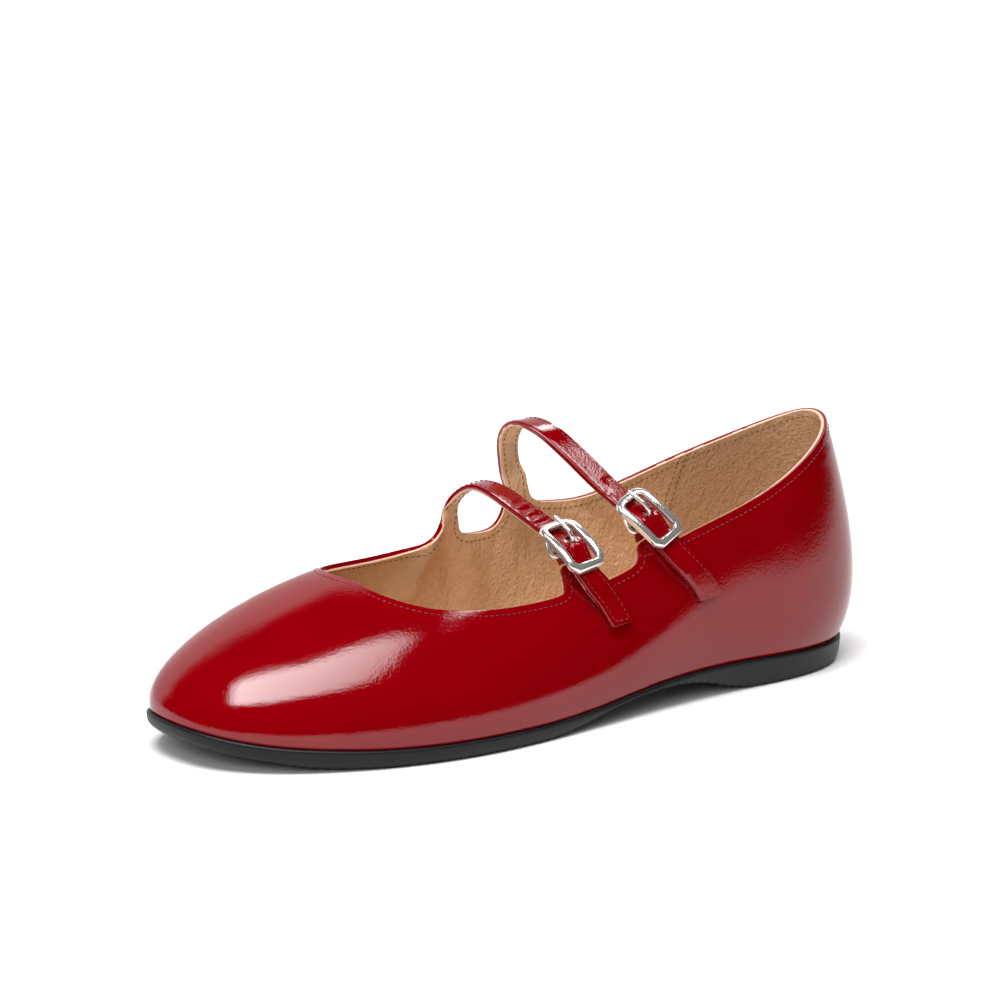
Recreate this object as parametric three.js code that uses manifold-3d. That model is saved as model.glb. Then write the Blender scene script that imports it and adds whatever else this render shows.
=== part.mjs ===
// Left mary jane shoe with two buckled straps, in millimetres, Z up.
// The toe points to -Y, the heel to +Y, and the outer side of the foot to +X.
import * as THREE from "three";
import Module from "manifold-3d";

const wasm = await Module();
wasm.setup();

// Main sizes
const LENGTH = 246; // toe tip to the back of the heel counter
const BALL_WIDTH = 84; // across the widest part of the sole
const BACK_HEIGHT = 78.5; // floor to the collar at the back
const WALL = 2; // patent leather and lining together
const GAP = 0.3; // between neighbouring curved pieces
const INSOLE = 2.5; // thickness of the sock board
const SOLE_LIP = 0.7; // how far the sole stands out past the upper
const STRAP_WIDTH = 8.4;
const STRAP_THICK = 2;
const STRAP_EDGE = 0.45; // the cut corner along each edge of a strap
const COLLAR_LEVEL = 20; // the larger it is, the more squarely the wall leaves the collar edge
const ROOT_BLEND = 14; // a strap turns from its root's edge to its own direction over this length
const TURN_KEPT = 8; // it keeps that direction this far, and lies square across the foot
const TURN_LOST = 30; // from here on
const STRAP_STEP = 3.4; // longest step between two sections of a strap
const TAIL_SLANT = 0.25; // how far the cut end of a strap slants, per millimetre across it

// Heights of the sole's upper and lower face along the foot
const SOLE_COLUMNS = ["at", "upper", "lower"];
const SOLE = [
  [0, 12.4, 7.8],
  [0.0488, 9.6, 4.5],
  [0.0976, 7.8, 2.3],
  [0.154, 6.6, 0.8],
  [0.215, 5.7, 0],
  [0.301, 5.3, 0],
  [0.439, 5.2, 0],
  [0.488, 5.8, 1.6],
  [0.528, 6.5, 3.7],
  [0.581, 7.9, 5.8],
  [0.634, 9, 6.6],
  [0.679, 9.5, 6],
  [0.711, 9.6, 4.3],
  [0.748, 9.6, 1.6],
  [0.785, 9.4, 0],
  [0.825, 9.1, 0],
  [1, 7.6, 0],
];

// Stations round the shoe, from the heel by the outer side and the toe to the inner side.
// at and side place the joint with the sole, as shares of LENGTH and BALL_WIDTH.
// topAt, topSide and topRise place the collar edge, topRise as a share of BACK_HEIGHT.
// The last four are millimetres: how far the wall bulges out and rises above the joint,
// and how far it spreads out and drops below the collar edge.
const STATION_COLUMNS = [
  "name", "at", "side", "topAt", "topSide", "topRise", "lowOut", "lowUp", "topOut", "topDown",
];
const STATIONS = [
  ["heel back", 0.976, 0.000, 0.958, -0.012, 1.000, 11, 14, 8.5, 26],
  ["heel corner, outer", 0.945, 0.202, 0.942, 0.125, 0.961, 9, 13.5, 6.5, 24],
  ["heel side, outer", 0.862, 0.315, 0.866, 0.245, 0.848, 6, 13, 5, 19],
  ["seat front, outer", 0.756, 0.339, 0.763, 0.292, 0.734, 4, 14, 4.5, 16],
  ["waist back, outer", 0.654, 0.375, 0.663, 0.302, 0.648, 3.5, 13, 4.5, 13],
  ["waist, outer", 0.561, 0.423, 0.574, 0.312, 0.548, 3, 12, 5, 10.5],
  ["waist front, outer", 0.476, 0.468, 0.487, 0.320, 0.508, 3, 12, 5.5, 9],
  ["ball back, outer", 0.398, 0.502, 0.412, 0.319, 0.498, 3.5, 12, 7, 8],
  ["ball, outer", 0.325, 0.512, 0.341, 0.292, 0.513, 3.5, 12, 9, 7.5],
  ["ball front, outer", 0.244, 0.486, 0.297, 0.232, 0.539, 3, 12, 13, 7.5],
  ["toe side, outer", 0.167, 0.423, 0.274, 0.155, 0.563, 2.5, 12, 18, 8],
  ["toe shoulder, outer", 0.102, 0.337, 0.263, 0.071, 0.582, 2.5, 12, 22, 8],
  ["toe corner, outer", 0.047, 0.221, 0.259, 0.000, 0.596, 2.5, 12, 24, 8],
  ["toe front, outer", 0.015, 0.087, 0.252, -0.060, 0.603, 2.5, 12, 26, 7.5],
  ["toe tip", 0.004, -0.060, 0.247, -0.119, 0.605, 3, 12, 26.5, 6.5],
  ["toe front, inner", 0.007, -0.196, 0.247, -0.167, 0.605, 4.5, 13, 26, 5.5],
  ["toe corner, inner", 0.033, -0.313, 0.254, -0.212, 0.603, 5, 14.5, 22, 4.5],
  ["toe shoulder, inner", 0.085, -0.401, 0.283, -0.243, 0.599, 5.5, 15, 17, 4],
  ["toe side, inner", 0.159, -0.455, 0.321, -0.260, 0.596, 5, 15, 13, 4],
  ["ball, inner", 0.240, -0.480, 0.360, -0.267, 0.600, 4, 14, 10, 5],
  ["ball back, inner", 0.325, -0.468, 0.400, -0.269, 0.608, 3, 13, 6, 8],
  ["waist front, inner", 0.415, -0.423, 0.441, -0.281, 0.613, 2, 12, 2, 10],
  ["strap root, inner", 0.459, -0.393, 0.474, -0.321, 0.613, 1.5, 12, 0.8, 10.5],
  ["waist, inner", 0.504, -0.363, 0.512, -0.333, 0.608, 1, 12, 1, 11],
  ["arch, inner", 0.549, -0.338, 0.552, -0.335, 0.629, 1.5, 12, 1.2, 12],
  ["waist back, inner", 0.593, -0.315, 0.598, -0.329, 0.690, 2, 12, 1.5, 13],
  ["seat joint, inner", 0.640, -0.304, 0.642, -0.317, 0.687, 2.2, 12.5, 2, 13.5],
  ["seat front, inner", 0.687, -0.298, 0.687, -0.302, 0.710, 2.5, 13, 2.5, 14],
  ["seat, inner", 0.785, -0.304, 0.785, -0.273, 0.803, 3, 13, 4, 16],
  ["heel side, inner", 0.874, -0.298, 0.868, -0.218, 0.887, 6, 13, 5, 19],
  ["heel corner, inner", 0.947, -0.187, 0.937, -0.131, 0.966, 9, 13.5, 6.5, 24],
];

// Raised ends of the collar edge: two tabs for the buckles and two roots for the straps.
// fore and aft are how far the hollow at each side of an end runs along the foot.
const END_COLUMNS = ["name", "outer", "at", "width", "fore", "aft", "rise", "lean"];
const ENDS = [
  ["front tab", true, 0.520, 9, 2.5, 3.5, 8.6, 0.012],
  ["rear tab", true, 0.630, 8.6, 3.5, 2.2, 5, 0.045],
  ["front root", false, 0.452, 8.2, 9.5, 3.5, 6.2, 0],
  ["rear root", false, 0.563, 8.1, 6, 8, 8.3, 0],
];

// Middle line of each strap between its root and the outer side, then down the outer side.
// side, at and rise are shares of BALL_WIDTH, LENGTH and BACK_HEIGHT.
const ARCH_COLUMNS = ["side", "at", "rise"];
const TAIL_COLUMNS = ["at", "rise", "lift"];
const STRAPS = {
  front: {
    root: "front root",
    tab: "front tab",
    arch: [
      [-0.285, 0.458, 0.736],
      [-0.273, 0.464, 0.780],
      [-0.240, 0.473, 0.819],
      [-0.190, 0.481, 0.841],
      [-0.107, 0.489, 0.828],
      [-0.012, 0.499, 0.786],
      [0.107, 0.511, 0.730],
      [0.238, 0.520, 0.665],
      [0.335, 0.529, 0.566],
    ],
    tail: [
      [0.535, 0.479, 0.7],
      [0.553, 0.364, 0.5],
    ],
    buckleSide: 0.238,
    turn: 32,
  },
  rear: {
    root: "rear root",
    tab: "rear tab",
    arch: [
      [-0.327, 0.558, 0.831],
      [-0.319, 0.552, 0.907],
      [-0.300, 0.548, 0.981],
      [-0.265, 0.548, 1.036],
      [-0.208, 0.552, 1.065],
      [-0.119, 0.563, 1.045],
      [-0.024, 0.578, 0.976],
      [0.107, 0.602, 0.854],
      [0.262, 0.634, 0.717],
      [0.345, 0.659, 0.600],
    ],
    tail: [
      [0.680, 0.494, 0.8],
      [0.696, 0.408, 0.5],
    ],
    buckleSide: 0.250,
    turn: 19,
  },
};

// Buckle, measured along the strap from its middle, across it, and up from the strap's middle
const FRAME_LENGTH = 17.6;
const FRAME_WIDTH = 11.6;
const FRAME_BAR = 2.6;
const FRAME_LOW = STRAP_THICK / 2 + GAP;
const FRAME_HIGH = FRAME_LOW + 2.2;
const FRAME_BEVEL = 0.6;
const STRAP_BULGE = 2.1; // how far the strap rises inside the frame
const BAR_RADIUS = 0.8; // the hidden bar under the strap
const BAR_HEIGHT = -1.7;
const HOLE_FROM = -3.1; // the prong's hole in the strap
const HOLE_TO = 0.5;
const HOLE_WIDTH = 2.3;
const PRONG_RADIUS = 0.65;
const PRONG_REST = FRAME_HIGH + GAP + PRONG_RADIUS;
const EYE_RADIUS = BAR_RADIUS + 1.05; // the prong's eye round the hidden bar
const EYE_HALF = 0.8;
const LOOP_WIDTH = 8; // the leather loop that holds the hidden bar
const LOOP_THICK = 1.2;

// Distances from a strap's middle to the points of its section, on each side
const STRAP_HALVES = [HOLE_WIDTH / 2, STRAP_WIDTH / 4, STRAP_WIDTH / 2 - STRAP_EDGE, STRAP_WIDTH / 2];

// Corners of the frame's middle line, as shares of half its length and half its width.
// One end has cut corners and the other, at the prong's point, rounded ones.
const CORNER_COLUMNS = ["along", "across"];
const FRAME_CORNERS = [
  [1, 0], [1, 0.52], [0.7, 1], [0.25, 1], [-0.25, 1], [-0.66, 1], [-0.88, 0.86], [-1, 0.52],
  [-1, 0], [-1, -0.52], [-0.88, -0.86], [-0.66, -1], [-0.25, -1], [0.25, -1], [0.7, -1], [1, -0.52],
];

// Side arms from the frame down to the hidden bar, and the prong from its eye to the frame:
// along is a share of half the frame's length
const ROD_COLUMNS = ["along", "up"];
const ARM = [
  [-0.8, FRAME_LOW + 1],
  [-0.61, 0.7],
  [-0.39, -0.6],
  [-0.09, BAR_HEIGHT],
];
const PRONG = [
  [-0.08, BAR_HEIGHT + 1.25],
  [-0.11, 1.2],
  [-0.19, 3.3],
  [-0.34, PRONG_REST],
  [-0.63, PRONG_REST + 0.35],
  [-1.07, PRONG_REST],
];

const named = (columns, rows) =>
  rows.map((row) => Object.fromEntries(columns.map((column, i) => [column, row[i]])));

// A smooth curve through a closed round of values
function roundCurve(knots, period, values) {
  const count = knots.length;
  const gaps = knots.map((knot, i) => (i + 1 < count ? knots[i + 1] : period) - knot);
  const bend = new Array(count).fill(0);
  for (let sweep = 0; sweep < 60; sweep++) {
    for (let i = 0; i < count; i++) {
      const before = (i + count - 1) % count;
      const after = (i + 1) % count;
      const rise = (values[after] - values[i]) / gaps[i];
      const last = (values[i] - values[before]) / gaps[before];
      const pull = gaps[before] * bend[before] + gaps[i] * bend[after];
      bend[i] = (6 * (rise - last) - pull) / (2 * (gaps[before] + gaps[i]));
    }
  }
  return (place) => {
    const at = ((place % period) + period) % period;
    let i = count - 1;
    while (knots[i] > at) i--;
    const a = (at - knots[i]) / gaps[i];
    const b = 1 - a;
    const after = (i + 1) % count;
    const curve = ((b ** 3 - b) * bend[i] + (a ** 3 - a) * bend[after]) * gaps[i] ** 2;
    return b * values[i] + a * values[after] + curve / 6;
  };
}

// A curve through a table that never swings past its own values
function levelCurve(xs, ys) {
  const last = xs.length - 1;
  const slopes = xs.slice(1).map((x, i) => (ys[i + 1] - ys[i]) / (x - xs[i]));
  const lean = xs.map((_, i) => {
    if (i === 0) return slopes[0];
    if (i === last) return slopes[last - 1];
    const [a, b] = [slopes[i - 1], slopes[i]];
    return a * b <= 0 ? 0 : (2 * a * b) / (a + b);
  });
  return (x) => {
    const at = Math.min(Math.max(x, xs[0]), xs[last]);
    let i = last - 1;
    while (i > 0 && xs[i] > at) i--;
    const span = xs[i + 1] - xs[i];
    const t = (at - xs[i]) / span;
    const t2 = t * t;
    const t3 = t2 * t;
    return (
      (2 * t3 - 3 * t2 + 1) * ys[i] +
      (t3 - 2 * t2 + t) * span * lean[i] +
      (3 * t2 - 2 * t3) * ys[i + 1] +
      (t3 - t2) * span * lean[i + 1]
    );
  };
}

const sole = named(SOLE_COLUMNS, SOLE);
const soleLine = (column) =>
  levelCurve(
    sole.map((row) => row.at * LENGTH),
    sole.map((row) => row[column]),
  );
const soleUpper = soleLine("upper");
const soleLower = soleLine("lower");

// Distance from the toe tip, for a point's y
const fromToe = (y) => y + LENGTH / 2;
const yAt = (share) => share * LENGTH - LENGTH / 2;

const stations = named(STATION_COLUMNS, STATIONS);
const stationPoints = stations.map(
  (row) => new THREE.Vector2(row.side * BALL_WIDTH, yAt(row.at)),
);
const knots = [0];
stationPoints.forEach((point, i) => {
  const next = stationPoints[(i + 1) % stationPoints.length];
  knots.push(knots[i] + point.distanceTo(next));
});
const ROUND = knots.pop();
const roundOf = (value) => roundCurve(knots, ROUND, stations.map(value));
const joint = {
  x: roundOf((row) => row.side * BALL_WIDTH),
  y: roundOf((row) => yAt(row.at)),
};
const collar = {
  x: roundOf((row) => row.topSide * BALL_WIDTH),
  y: roundOf((row) => yAt(row.topAt)),
  z: roundOf((row) => row.topRise * BACK_HEIGHT),
};
const spread = Object.fromEntries(
  ["lowOut", "lowUp", "topOut", "topDown"].map((key) => [key, roundOf((row) => row[key])]),
);

// Level direction away from the foot at a place on the sole joint
function outward(place) {
  const step = 0.5;
  const dx = joint.x(place + step) - joint.x(place - step);
  const dy = joint.y(place + step) - joint.y(place - step);
  return new THREE.Vector3(-dy, dx, 0).normalize();
}

// The last value from near towards far that still passes the test
function lastPassing(near, far, passes) {
  let [kept, missed] = [near, far];
  for (let i = 0; i < 50; i++) {
    const half = (kept + missed) / 2;
    if (passes(half)) kept = half;
    else missed = half;
  }
  return kept;
}

// Where each line comes nearest to the toe tip
for (const line of [joint, collar]) {
  const tries = Array.from({ length: 2000 }, (_, i) => (i / 2000) * ROUND);
  line.toe = tries.reduce((best, place) => (line.y(place) < line.y(best) ? place : best));
}

// The place on the round, on one side of the foot, where a line has the given y
const placeAt = (line, y, outer) =>
  lastPassing(outer ? 0 : ROUND, line.toe, (place) => line.y(place) > y);

const ends = named(END_COLUMNS, ENDS).map((row) => {
  const reach = (offset) => placeAt(collar, yAt(row.at) + offset, row.outer);
  return { ...row, reach, middle: reach(0) };
});
const onSide = (end, place) => collar.x(place) > 0 === end.outer;

// How far the collar edge is raised at a place on the round
function raised(place) {
  let most = 0;
  for (const end of ends) {
    const away = collar.y(place) - yAt(end.at);
    const beside = Math.max(0, Math.abs(away) - end.width / 2) / (away < 0 ? end.fore : end.aft);
    if (!onSide(end, place) || beside >= 1) continue;
    most = Math.max(most, end.rise * (1 - Math.sqrt(1 - (1 - beside) ** 2)));
  }
  return most;
}

// How fast the raised ends bend over the foot, per millimetre past the collar edge
function leanAt(place) {
  const near = (end) => Math.abs(collar.y(place) - yAt(end.at)) < end.width / 2 + end.aft;
  const end = ends.find((candidate) => onSide(candidate, place) && near(candidate));
  return end ? end.lean : 0;
}

// Outer face of the upper: 0 is the sole joint, 1 the plain collar edge, and more lies past it
function surface(place, share) {
  const out = outward(place);
  const low = new THREE.Vector3(joint.x(place), joint.y(place), 0);
  low.z = soleUpper(fromToe(low.y)) + GAP;
  const top = new THREE.Vector3(collar.x(place), collar.y(place), collar.z(place));
  const level = low.clone().sub(top).setZ(0).addScaledVector(out, COLLAR_LEVEL).normalize();
  const lowHandle = low.clone().addScaledVector(out, spread.lowOut(place));
  lowHandle.z += spread.lowUp(place);
  const topHandle = top.clone().addScaledVector(level, spread.topOut(place));
  topHandle.z -= spread.topDown(place);
  if (share > 1) {
    const past = top.clone().sub(topHandle).multiplyScalar(3 * (share - 1));
    return top.add(past).addScaledVector(out, -leanAt(place) * past.lengthSq());
  }
  return new THREE.CubicBezierCurve3(low, lowHandle, topHandle, top).getPoint(share);
}

// Where the wall ends at a place, raised ends included
function topShare(place) {
  const perShare = 3 * Math.hypot(spread.topOut(place), spread.topDown(place));
  return 1 + raised(place) / perShare;
}

function surfaceNormal(place, share) {
  const along = surface(place + 0.4, share).sub(surface(place - 0.4, share));
  const up = surface(place, share + 0.01).sub(surface(place, Math.max(0, share - 0.01)));
  return up.cross(along).normalize();
}

// A point halfway through the wall at its top edge
function edgeMiddle(place) {
  const share = topShare(place);
  return surface(place, share).addScaledVector(surfaceNormal(place, share), -WALL / 2);
}

// A mesh from points and four-cornered faces, split along each face's shorter diagonal
function geometryOf(points, faces) {
  const index = [];
  const add = (a, b, c) => {
    if (a !== b && b !== c && c !== a) index.push(a, b, c);
  };
  for (const [a, b, c, d] of faces) {
    if (points[a].distanceTo(points[c]) <= points[b].distanceTo(points[d])) {
      add(a, b, c);
      add(a, c, d);
    } else {
      add(a, b, d);
      add(b, c, d);
    }
  }
  const geometry = new THREE.BufferGeometry().setFromPoints(points);
  geometry.setIndex(index);
  return geometry;
}

// Places round the shoe for the upper's columns, closer where the collar edge is raised
function upperPlaces() {
  const marks = [0, joint.toe];
  const HOLLOW_STEPS = [0.05, 0.2, 0.5, 1];
  for (const end of ends) {
    const halves = end.outer ? [0.5] : STRAP_HALVES.map((half) => half / STRAP_WIDTH);
    marks.push(...halves.flatMap((half) => [end.reach(half * end.width), end.reach(-half * end.width)]));
    for (const step of HOLLOW_STEPS) {
      marks.push(end.reach(end.width / 2 + step * end.aft));
      marks.push(end.reach(-end.width / 2 - step * end.fore));
    }
  }
  marks.sort((a, b) => a - b);
  marks.push(ROUND);
  const places = [];
  for (let i = 0; i + 1 < marks.length; i++) {
    const [from, to] = [marks[i], marks[i + 1]];
    const close = raised((from + to) / 2) > 0.1;
    const parts = Math.max(1, Math.round((to - from) / (close ? 2.6 : 7)));
    for (let k = 0; k < parts; k++) places.push(from + ((to - from) * k) / parts);
  }
  return places;
}

// Shares up the wall for the rows of its mesh: even ones to a given share, then on to the top
const rowShares = (even, level, more, top) => [
  ...Array.from({ length: even }, (_, i) => (level * i) / even),
  ...Array.from({ length: more + 1 }, (_, i) => level + ((top - level) * i) / more),
];

function upperGeometry() {
  const OUTER_ROWS = 12;
  const INNER_ROWS = 7;
  const places = upperPlaces();
  const points = [];
  const outer = [];
  const inner = [];
  for (const place of places) {
    const shares = rowShares(OUTER_ROWS - 3, 0.9, 3, topShare(place));
    outer.push(shares.map((share) => points.push(surface(place, share)) - 1));
  }
  for (const place of places) {
    const shares = rowShares(INNER_ROWS - 2, 0.86, 2, topShare(place));
    inner.push(
      shares.map((share) => {
        const away = surfaceNormal(place, share);
        if (share === 0) away.setZ(0).normalize();
        return points.push(surface(place, share).addScaledVector(away, -WALL)) - 1;
      }),
    );
  }
  const faces = [];
  places.forEach((_, j) => {
    const k = (j + 1) % places.length;
    for (let i = 0; i < OUTER_ROWS; i++) {
      faces.push([outer[j][i], outer[j][i + 1], outer[k][i + 1], outer[k][i]]);
    }
    for (let i = 0; i < INNER_ROWS; i++) {
      faces.push([inner[j][i], inner[k][i], inner[k][i + 1], inner[j][i + 1]]);
    }
    const edge = [outer[k][OUTER_ROWS], outer[j][OUTER_ROWS]];
    faces.push([...edge, inner[j][INNER_ROWS], inner[k][INNER_ROWS]]);
    faces.push([outer[j][0], outer[k][0], inner[k][0], inner[j][0]]);
  });
  return geometryOf(points, faces);
}

// Pairs of places, one on each side of the foot at the same distance from the toe
function pairedPlaces(steps) {
  const outerSide = Array.from({ length: steps + 1 }, (_, i) => (joint.toe * i) / steps);
  const innerSide = outerSide
    .slice(1, -1)
    .map((place) => placeAt(joint, joint.y(place), false))
    .reverse();
  return [...outerSide, ...innerSide];
}

// A plate with the foot's outline: rings run down its side, and its two faces are laddered
function plateGeometry(steps, across, ringPoint, rings, faceHeight) {
  const places = pairedPlaces(steps);
  const count = places.length;
  const points = [];
  const loops = rings.map((ring) =>
    places.map((place) => points.push(ringPoint(place, ring)) - 1),
  );
  const faces = [];
  for (let r = 0; r + 1 < loops.length; r++) {
    for (let j = 0; j < count; j++) {
      const k = (j + 1) % count;
      faces.push([loops[r + 1][j], loops[r][j], loops[r][k], loops[r + 1][k]]);
    }
  }
  for (const up of [true, false]) {
    const loop = up ? loops[0] : loops[loops.length - 1];
    const rung = (i) => {
      const a = loop[i];
      const b = loop[(count - i) % count];
      if (a === b) return new Array(across + 1).fill(a);
      const row = [a];
      for (let k = 1; k < across; k++) {
        const point = points[a].clone().lerp(points[b], k / across);
        point.z = faceHeight(point, up);
        row.push(points.push(point) - 1);
      }
      return [...row, b];
    };
    let before = rung(0);
    for (let i = 1; i <= count / 2; i++) {
      const after = rung(i);
      for (let k = 0; k < across; k++) {
        const face = [before[k], before[k + 1], after[k + 1], after[k]];
        faces.push(up ? face : face.reverse());
      }
      before = after;
    }
  }
  return geometryOf(points, faces);
}

// Rings down the sole's side: how far each stands out, and its share of the way down
const SOLE_RINGS = [
  { out: SOLE_LIP - 0.5, down: 0, lift: 0 },
  { out: SOLE_LIP, down: 0, lift: -0.6 },
  { out: SOLE_LIP, down: 0.55, lift: 0 },
  { out: SOLE_LIP - 0.5, down: 1, lift: 0.9 },
  { out: SOLE_LIP - 1.4, down: 1, lift: 0 },
];

function outsoleGeometry() {
  const HEEL_TAPER = 0.12;
  return plateGeometry(
    44,
    4,
    (place, ring) => {
      const point = new THREE.Vector3(joint.x(place), joint.y(place), 0);
      const upper = soleUpper(fromToe(point.y));
      const deep = upper - soleLower(fromToe(point.y));
      const out = ring.out - HEEL_TAPER * Math.max(0, deep - 4) * ring.down;
      point.addScaledVector(outward(place), out);
      point.z = upper - deep * ring.down + ring.lift;
      return point;
    },
    SOLE_RINGS,
    (point, up) => (up ? soleUpper : soleLower)(fromToe(point.y)),
  );
}

function insoleGeometry() {
  return plateGeometry(
    34,
    2,
    (place, ring) => {
      const point = new THREE.Vector3(joint.x(place), joint.y(place), 0);
      point.z = soleUpper(fromToe(point.y)) + GAP + ring.height;
      return point.addScaledVector(outward(place), -WALL - GAP - ring.inset);
    },
    [{ height: INSOLE, inset: 1.2 }, { height: 0, inset: 0.5 }],
    (point, up) => soleUpper(fromToe(point.y)) + GAP + (up ? INSOLE : 0),
  );
}

// A solid swept through rings of points, closed at both ends or joined into a ring
function sweptGeometry(rings, joined, hole) {
  const points = rings.flat();
  const round = rings[0].length;
  const at = (m, k) => (m % rings.length) * round + (k % round);
  const faces = [];
  const spans = joined ? rings.length : rings.length - 1;
  const under = (k) => round - 1 - k;
  for (let m = 0; m < spans; m++) {
    for (let k = 0; k < round; k++) {
      const open = hole && m === hole.span && (k === hole.cell || k === under(hole.cell + 1));
      if (!open) faces.push([at(m, k), at(m + 1, k), at(m + 1, k + 1), at(m, k + 1)]);
    }
  }
  if (hole) {
    const { span, cell } = hole;
    const rim = [[span, cell], [span + 1, cell], [span + 1, cell + 1], [span, cell + 1]];
    rim.forEach(([m, k], i) => {
      const [n, l] = rim[(i + 1) % 4];
      faces.push([at(m, k), at(n, l), at(n, under(l)), at(m, under(k))]);
    });
  }
  if (!joined) {
    for (let k = 0; k + 1 < round / 2; k++) {
      faces.push([at(0, k), at(0, k + 1), at(0, under(k + 1)), at(0, under(k))]);
      const m = rings.length - 1;
      faces.push([at(m, under(k)), at(m, under(k + 1)), at(m, k + 1), at(m, k)]);
    }
  }
  return geometryOf(points, faces);
}

const solidOf = (geometry) =>
  new wasm.Manifold(
    new wasm.Mesh({
      numProp: 3,
      vertProperties: new Float32Array(geometry.getAttribute("position").array),
      triVerts: new Uint32Array(geometry.index.array),
    }),
  );

function geometryFrom(solid) {
  const mesh = solid.getMesh();
  const geometry = new THREE.BufferGeometry();
  geometry.setAttribute("position", new THREE.BufferAttribute(mesh.vertProperties, 3));
  geometry.setIndex(new THREE.BufferAttribute(mesh.triVerts, 1));
  return geometry;
}

// Where a strap leaves its root: the middle of its first section, the way it sets off, and
// the direction across it, as long as makes the strap as wide as its root's edge
function strapStart(root) {
  const lead = surface(root.middle, topShare(root.middle)).sub(surface(root.middle, 1)).normalize();
  const half = root.width / 2;
  const across = edgeMiddle(root.reach(half)).sub(edgeMiddle(root.reach(-half)));
  across.divideScalar(STRAP_WIDTH);
  return { point: edgeMiddle(root.middle).addScaledVector(lead, 1.5 * GAP), lead, across };
}

// The middle line of a strap, and points beside it
function strapLine(strap) {
  const start = strapStart(ends.find((end) => end.name === strap.root));
  const points = [start.point, start.point.clone().addScaledVector(start.lead, STRAP_WIDTH / 3)];
  for (const row of named(ARCH_COLUMNS, strap.arch)) {
    points.push(new THREE.Vector3(row.side * BALL_WIDTH, yAt(row.at), row.rise * BACK_HEIGHT));
  }
  for (const row of named(TAIL_COLUMNS, strap.tail)) {
    const place = placeAt(joint, yAt(row.at), true);
    const height = row.rise * BACK_HEIGHT;
    const share = lastPassing(0, 1, (part) => surface(place, part).z < height);
    const clear = row.lift + STRAP_THICK / 2;
    points.push(surface(place, share).addScaledVector(surfaceNormal(place, share), clear));
  }
  const curve = new THREE.CatmullRomCurve3(points, false, "centripetal");
  curve.arcLengthDivisions = 400;
  const length = curve.getLength();
  const sectionAt = (distance) => {
    const share = Math.min(Math.max(distance / length, 0), 1);
    const point = curve.getPointAt(share);
    const along = curve.getTangentAt(share);
    const kept = 1 - THREE.MathUtils.smoothstep(distance, TURN_KEPT, TURN_LOST);
    const turn = THREE.MathUtils.degToRad(strap.turn * kept);
    const across = new THREE.Vector3(-Math.sin(turn), Math.cos(turn), 0);
    across.addScaledVector(along, -across.dot(along)).normalize();
    across.lerp(start.across, 1 - THREE.MathUtils.smoothstep(distance, 0, ROOT_BLEND));
    const away = along.clone().cross(across).normalize();
    return { point, across, away };
  };
  const side = strap.buckleSide * BALL_WIDTH;
  const buckle = lastPassing(length * 0.3, length, (distance) => sectionAt(distance).point.x < side);
  // A point given along the strap from the buckle's middle, across it and up from it
  const spot = (along, across, up) => {
    const here = sectionAt(buckle + along);
    return here.point.addScaledVector(here.across, across).addScaledVector(here.away, up);
  };
  return { length, buckle, spot };
}

// The strap rises over the hidden bar between the two ends of the frame
const bulge = (along) => {
  const reach = FRAME_LENGTH / 2 - FRAME_BAR / 2 - 0.2;
  if (Math.abs(along) >= reach) return 0;
  return STRAP_BULGE * Math.cos((Math.PI * along) / (2 * reach)) ** 2;
};

function strapGeometry(line) {
  const half = STRAP_WIDTH / 2;
  const widths = [...STRAP_HALVES.map((width) => -width).reverse(), ...STRAP_HALVES];
  const lift = (across) => STRAP_THICK / 2 - (Math.abs(across) === half ? STRAP_EDGE : 0);
  const top = widths.map((across) => [across, lift(across)]);
  const section = [...top, ...top.map(([across, up]) => [across, -up]).reverse()];
  const distances = [];
  const fill = (from, to, step) => {
    const parts = Math.max(1, Math.round((to - from) / step));
    for (let i = 0; i < parts; i++) distances.push(from + ((to - from) * i) / parts);
  };
  const reach = FRAME_LENGTH / 2;
  fill(-line.buckle, -reach, STRAP_STEP);
  fill(-reach, HOLE_FROM, 2);
  const span = distances.push(HOLE_FROM) - 1;
  fill(HOLE_TO, reach, 2);
  const end = line.length - line.buckle - TAIL_SLANT * half;
  fill(reach, end, STRAP_STEP);
  distances.push(end);
  const rings = distances.map((along) => {
    const slant = along === end ? TAIL_SLANT : 0;
    return section.map(([across, up]) => line.spot(along + slant * across, across, up + bulge(along)));
  });
  return sweptGeometry(rings, false, { span, cell: 3 });
}

// A round bar through points given in the strap's own directions
function rodGeometry(line, path, radius, sides) {
  const centres = path.map(([along, across, up]) => line.spot(along, across, up));
  const slanting = new THREE.Vector3(0.31, 0.52, 0.79); // along none of the bars
  let side = slanting;
  const rings = centres.map((centre, i) => {
    const before = centres[Math.max(0, i - 1)];
    const after = centres[Math.min(centres.length - 1, i + 1)];
    const ahead = after.clone().sub(before).normalize();
    side = side.clone().addScaledVector(ahead, -side.dot(ahead)).normalize();
    const other = side.clone().cross(ahead);
    return Array.from({ length: sides }, (_, k) => {
      const turn = (2 * Math.PI * k) / sides;
      const point = centre.clone().addScaledVector(side, radius * Math.cos(turn));
      return point.addScaledVector(other, radius * Math.sin(turn));
    });
  });
  return sweptGeometry(rings, false);
}

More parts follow.
